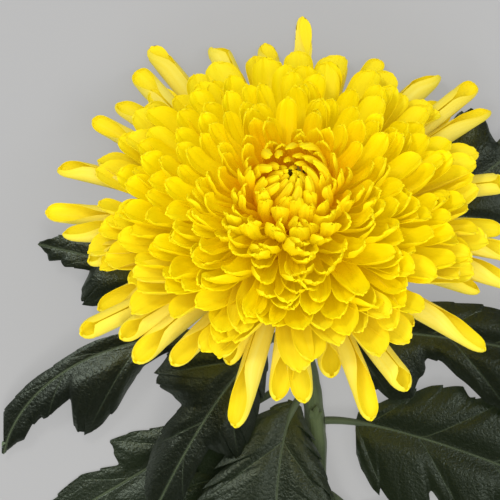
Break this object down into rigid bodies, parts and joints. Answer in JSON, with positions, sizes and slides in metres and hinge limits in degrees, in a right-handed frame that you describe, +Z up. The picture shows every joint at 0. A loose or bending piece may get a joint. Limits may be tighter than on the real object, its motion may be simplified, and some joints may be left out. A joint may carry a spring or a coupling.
{
  "type": "chrysanthemum flower",
  "caption": "Cut chrysanthemum lying on a surface: a large double bloom of cupped petals and long outer quills on a leafy green stem.",
  "frame": {"origin": "middle of the plant's underside, on the surface that it lies on", "axes": "+Z up from the surface; +Y along the stem from its cut end towards the bloom, the plant's longest way; +X to the right, seen from above with the bloom at the top"},
  "size_m": [0.1642, 0.2494, 0.0708],
  "materials": {
    "petals": "soft satin, paler on the backs",
    "involucre": "matte green",
    "stem": "matte green, ridged",
    "leaves": "soft sheen, dark green with paler veins"
  },
  "bodies": {
    "root": {"bloom": "petals", "involucre": "involucre", "stem": "stem", "leaf_1": "leaves", "leaf_2": "leaves", "leaf_3": "leaves", "leaf_4": "leaves", "leaf_5": "leaves", "leaf_6": "leaves", "leaf_7": "leaves", "leaf_8": "leaves", "leaf_9": "leaves", "leaf_10": "leaves"}
  },
  "joints": []
}
